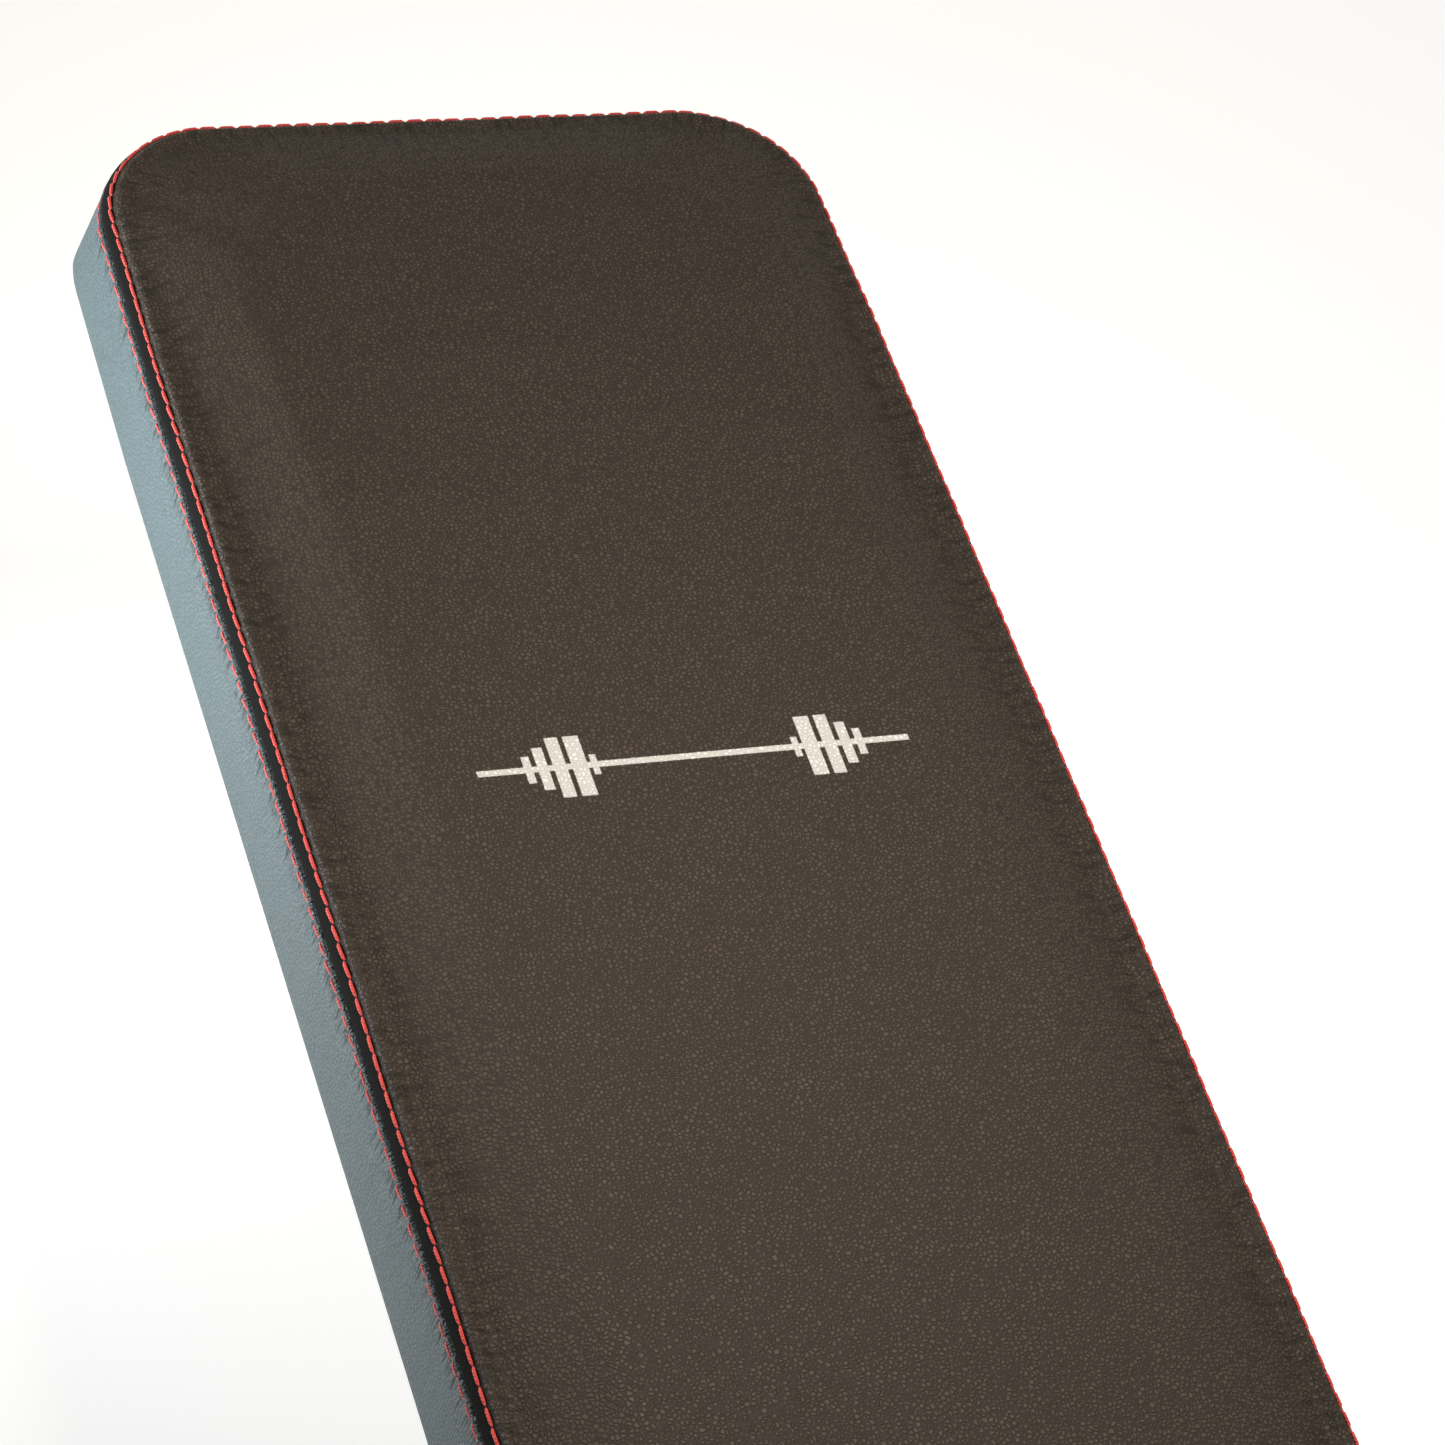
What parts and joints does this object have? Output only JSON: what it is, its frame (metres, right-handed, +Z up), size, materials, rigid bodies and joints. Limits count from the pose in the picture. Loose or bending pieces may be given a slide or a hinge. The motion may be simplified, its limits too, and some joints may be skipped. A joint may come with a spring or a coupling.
{
  "type": "olympic bench press",
  "caption": "Flat weight bench joined to raked uprights with tiered bar rests, plate storage horns and a spotter platform, for barbell bench presses.",
  "frame": {"origin": "on the floor, in the middle of the bench's footprint", "axes": "+Z up; +Y along the pad towards the head end, the uprights and the spotter platform; +X across the bench"},
  "size_m": [1.5706, 1.65, 1.1885],
  "materials": {
    "pad_vinyl": "satin",
    "pad_side_vinyl": "satin",
    "seam_piping": "satin",
    "seam_thread": "matte",
    "pad_foam": "matte",
    "plywood": "matte",
    "frame_powder_coat": "satin",
    "end_cap_plastic": "satin",
    "rack_guard_plastic": "satin",
    "plate_horn_chrome": "polished",
    "bumper_rubber": "matte",
    "platform_steel": "satin",
    "platform_mat": "matte",
    "foot_rubber": "matte",
    "zinc_hardware": "satin"
  },
  "bodies": {
    "frame": {"pad_cover": "pad_vinyl", "pad_foam": "pad_foam", "pad_board": "plywood", "foot_end_pad_bolt_left": "zinc_hardware", "foot_end_pad_bolt_right": "zinc_hardware", "head_end_pad_bolt_left": "zinc_hardware", "head_end_pad_bolt_right": "zinc_hardware", "front_leg": "frame_powder_coat", "front_foot_beam": "frame_powder_coat", "front_leg_gusset": "frame_powder_coat", "spine_beam": "frame_powder_coat", "spine_flange": "frame_powder_coat", "upper_crossbeam": "frame_powder_coat", "left_base_runner": "frame_powder_coat", "right_base_runner": "frame_powder_coat", "left_upright": "frame_powder_coat", "right_upright": "frame_powder_coat", "left_rear_strut": "frame_powder_coat", "right_rear_strut": "frame_powder_coat", "left_bar_rack": "frame_powder_coat", "right_bar_rack": "frame_powder_coat", "front_platform_beam": "frame_powder_coat", "rear_platform_beam": "frame_powder_coat", "foot_end_pad_bracket": "frame_powder_coat", "middle_pad_bracket": "frame_powder_coat", "head_end_pad_bracket": "frame_powder_coat", "front_foot_cap_left": "end_cap_plastic", "front_foot_cap_right": "end_cap_plastic", "spine_end_cap": "end_cap_plastic", "left_runner_front_cap": "end_cap_plastic", "left_runner_rear_cap": "end_cap_plastic", "right_runner_front_cap": "end_cap_plastic", "right_runner_rear_cap": "end_cap_plastic", "left_upright_cap": "end_cap_plastic", "right_upright_cap": "end_cap_plastic", "left_rack_guard": "rack_guard_plastic", "right_rack_guard": "rack_guard_plastic", "left_lower_plate_horn": "plate_horn_chrome", "left_upper_plate_horn": "plate_horn_chrome", "right_lower_plate_horn": "plate_horn_chrome", "right_upper_plate_horn": "plate_horn_chrome", "left_lower_horn_bumper": "bumper_rubber", "left_upper_horn_bumper": "bumper_rubber", "right_lower_horn_bumper": "bumper_rubber", "right_upper_horn_bumper": "bumper_rubber", "spotter_deck": "platform_steel", "spotter_mat": "platform_mat"},
    "front_left_foot": {"front_left_leveller_pad": "foot_rubber"},
    "front_left_stem": {"front_left_leveller_stem": "zinc_hardware"},
    "front_right_foot": {"front_right_leveller_pad": "foot_rubber"},
    "front_right_stem": {"front_right_leveller_stem": "zinc_hardware"},
    "middle_left_foot": {"middle_left_leveller_pad": "foot_rubber"},
    "middle_left_stem": {"middle_left_leveller_stem": "zinc_hardware"},
    "middle_right_foot": {"middle_right_leveller_pad": "foot_rubber"},
    "middle_right_stem": {"middle_right_leveller_stem": "zinc_hardware"},
    "rear_left_foot": {"rear_left_leveller_pad": "foot_rubber"},
    "rear_left_stem": {"rear_left_leveller_stem": "zinc_hardware"},
    "rear_right_foot": {"rear_right_leveller_pad": "foot_rubber"},
    "rear_right_stem": {"rear_right_leveller_stem": "zinc_hardware"}
  },
  "joints": [
    {"name": "front_left_foot_height", "type": "slide", "parent": "frame", "child": "front_left_foot", "axis": [0, 0, 1], "range_m": [-0.012, 0.006]},
    {"name": "front_left_foot_screw", "type": "hinge", "parent": "front_left_foot", "child": "front_left_stem", "pos_m": [-0.2, -0.375, 0], "axis": [0, 0, 1], "range_deg": [-2469, 1235]},
    {"name": "front_right_foot_height", "type": "slide", "parent": "frame", "child": "front_right_foot", "axis": [0, 0, 1], "range_m": [-0.012, 0.006]},
    {"name": "front_right_foot_screw", "type": "hinge", "parent": "front_right_foot", "child": "front_right_stem", "pos_m": [0.2, -0.375, 0], "axis": [0, 0, 1], "range_deg": [-2469, 1235]},
    {"name": "middle_left_foot_height", "type": "slide", "parent": "frame", "child": "middle_left_foot", "axis": [0, 0, 1], "range_m": [-0.012, 0.006]},
    {"name": "middle_left_foot_screw", "type": "hinge", "parent": "middle_left_foot", "child": "middle_left_stem", "pos_m": [-0.555, 0.1, 0], "axis": [0, 0, 1], "range_deg": [-2469, 1235]},
    {"name": "middle_right_foot_height", "type": "slide", "parent": "frame", "child": "middle_right_foot", "axis": [0, 0, 1], "range_m": [-0.012, 0.006]},
    {"name": "middle_right_foot_screw", "type": "hinge", "parent": "middle_right_foot", "child": "middle_right_stem", "pos_m": [0.555, 0.1, 0], "axis": [0, 0, 1], "range_deg": [-2469, 1235]},
    {"name": "rear_left_foot_height", "type": "slide", "parent": "frame", "child": "rear_left_foot", "axis": [0, 0, 1], "range_m": [-0.012, 0.006]},
    {"name": "rear_left_foot_screw", "type": "hinge", "parent": "rear_left_foot", "child": "rear_left_stem", "pos_m": [-0.555, 0.785, 0], "axis": [0, 0, 1], "range_deg": [-2469, 1235]},
    {"name": "rear_right_foot_height", "type": "slide", "parent": "frame", "child": "rear_right_foot", "axis": [0, 0, 1], "range_m": [-0.012, 0.006]},
    {"name": "rear_right_foot_screw", "type": "hinge", "parent": "rear_right_foot", "child": "rear_right_stem", "pos_m": [0.555, 0.785, 0], "axis": [0, 0, 1], "range_deg": [-2469, 1235]}
  ],
  "couplings": [
    {"joint": "front_left_foot_screw", "follows": "front_left_foot_height", "rad_per_m": 3590.4},
    {"joint": "front_right_foot_screw", "follows": "front_right_foot_height", "rad_per_m": 3590.4},
    {"joint": "middle_left_foot_screw", "follows": "middle_left_foot_height", "rad_per_m": 3590.4},
    {"joint": "middle_right_foot_screw", "follows": "middle_right_foot_height", "rad_per_m": 3590.4},
    {"joint": "rear_left_foot_screw", "follows": "rear_left_foot_height", "rad_per_m": 3590.4},
    {"joint": "rear_right_foot_screw", "follows": "rear_right_foot_height", "rad_per_m": 3590.4}
  ]
}
